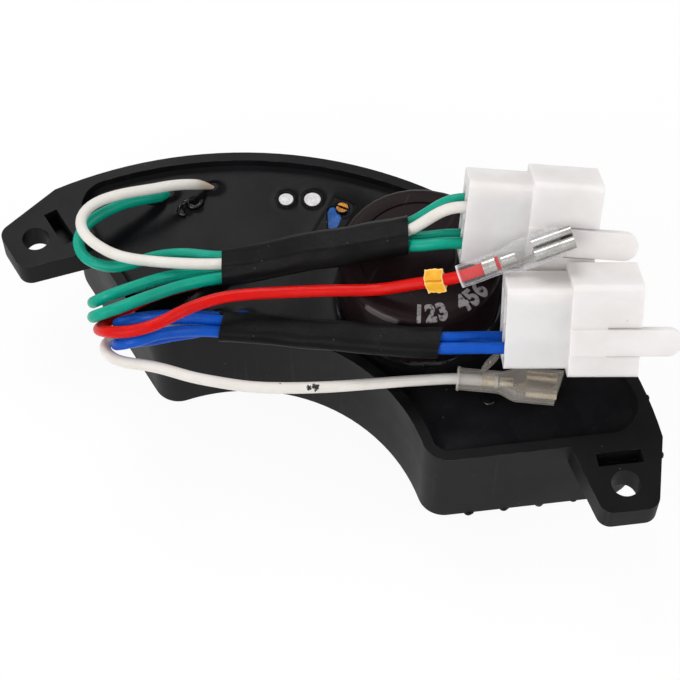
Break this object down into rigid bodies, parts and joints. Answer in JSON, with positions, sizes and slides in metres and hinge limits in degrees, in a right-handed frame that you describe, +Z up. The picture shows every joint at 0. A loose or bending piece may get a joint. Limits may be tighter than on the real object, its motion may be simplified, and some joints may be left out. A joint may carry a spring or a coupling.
{
  "type": "automatic voltage regulator",
  "caption": "Arc-shaped potted automatic voltage regulator with mounting ears, a standing capacitor and a trimmer; its leads end in latched plugs and insulated spade terminals.",
  "frame": {"origin": "middle of the case's footprint, at the underside of its ribs", "axes": "+X along the arc's chord to the ear beside the capacitor, +Y to the arc's convex side, +Z up out of the open case"},
  "size_m": [0.1354, 0.0656, 0.0545],
  "materials": {
    "case_plastic": "satin",
    "potting": "gloss",
    "board": "satin",
    "can_metal": "satin",
    "can_sleeve": "satin",
    "trimmer_blue": "satin",
    "brass": "satin",
    "moulded_black": "matte",
    "resistor_coat": "satin",
    "white_wire": "satin",
    "green_wire": "satin",
    "red_wire": "satin",
    "blue_wire": "satin",
    "shrink": "satin",
    "plug_nylon": "satin",
    "tinned": "satin",
    "clear_sleeve": "gloss",
    "smoky_sleeve": "gloss",
    "marker_yellow": "satin"
  },
  "bodies": {
    "regulator": {"case": "case_plastic", "potting_compound": "potting", "circuit_board": "board", "capacitor_can": "can_metal", "capacitor_sleeve": "can_sleeve", "capacitor_disc": "can_sleeve", "small_capacitor_left": "can_metal", "small_capacitor_right": "can_metal", "trimmer_body": "trimmer_blue", "bridge_rectifier": "moulded_black", "power_transistor": "moulded_black", "driver_chip": "moulded_black", "dropping_resistor": "resistor_coat", "white_lead_upper": "white_wire", "white_lead_lower": "white_wire", "green_lead_a": "green_wire", "green_lead_b": "green_wire", "green_lead_c": "green_wire", "red_lead": "red_wire", "blue_lead_a": "blue_wire", "blue_lead_b": "blue_wire", "upper_shrink_sleeve": "shrink", "lower_shrink_sleeve": "shrink", "upper_plug": "plug_nylon", "lower_plug": "plug_nylon", "upper_plug_contacts": "brass", "lower_plug_contacts": "brass", "red_terminal": "tinned", "white_terminal": "brass", "red_terminal_sleeve": "clear_sleeve", "white_terminal_sleeve": "smoky_sleeve", "lead_marker": "marker_yellow"},
    "trimmer_adjuster": {"trimmer_screw": "brass"}
  },
  "joints": [
    {"name": "trimmer_turn", "type": "hinge", "parent": "regulator", "child": "trimmer_adjuster", "pos_m": [-0.01131, 0.01626, 0.021], "axis": [0, 0, 1], "continuous": true}
  ]
}
